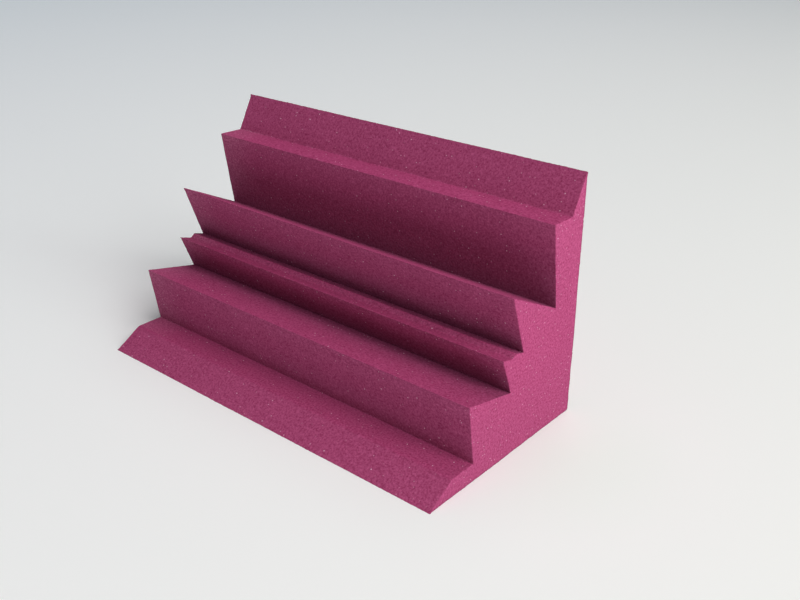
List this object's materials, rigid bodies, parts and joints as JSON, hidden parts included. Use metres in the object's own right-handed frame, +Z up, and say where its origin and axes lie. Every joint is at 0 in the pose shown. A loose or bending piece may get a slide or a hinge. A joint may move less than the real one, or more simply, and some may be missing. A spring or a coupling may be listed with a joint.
{
  "type": "corner bass trap",
  "caption": "Foam corner bass trap: a wedge with two flat faces at a right angle and a sawtooth front, with square adhesive tabs and release liners on the flat faces.",
  "frame": {"origin": "on the base, at the centre of the bounding box's bottom face", "axes": "+X along the block's length, to the right seen from the front; +Y towards the wall behind; +Z up"},
  "size_m": [0.61, 0.2986, 0.337],
  "materials": {
    "foam": "matte",
    "tab_tape": "matte",
    "liner_paper": "satin"
  },
  "bodies": {
    "root": {"foam_body": "foam", "adhesive_tab_base_1": "tab_tape", "adhesive_tab_base_2": "tab_tape", "adhesive_tab_base_3": "tab_tape", "adhesive_tab_base_4": "tab_tape", "adhesive_tab_wall_1": "tab_tape", "adhesive_tab_wall_2": "tab_tape", "adhesive_tab_wall_3": "tab_tape", "adhesive_tab_wall_4": "tab_tape", "release_liner_base_1": "liner_paper", "release_liner_base_2": "liner_paper", "release_liner_base_3": "liner_paper", "release_liner_base_4": "liner_paper", "release_liner_wall_1": "liner_paper", "release_liner_wall_2": "liner_paper", "release_liner_wall_3": "liner_paper", "release_liner_wall_4": "liner_paper"}
  },
  "joints": []
}
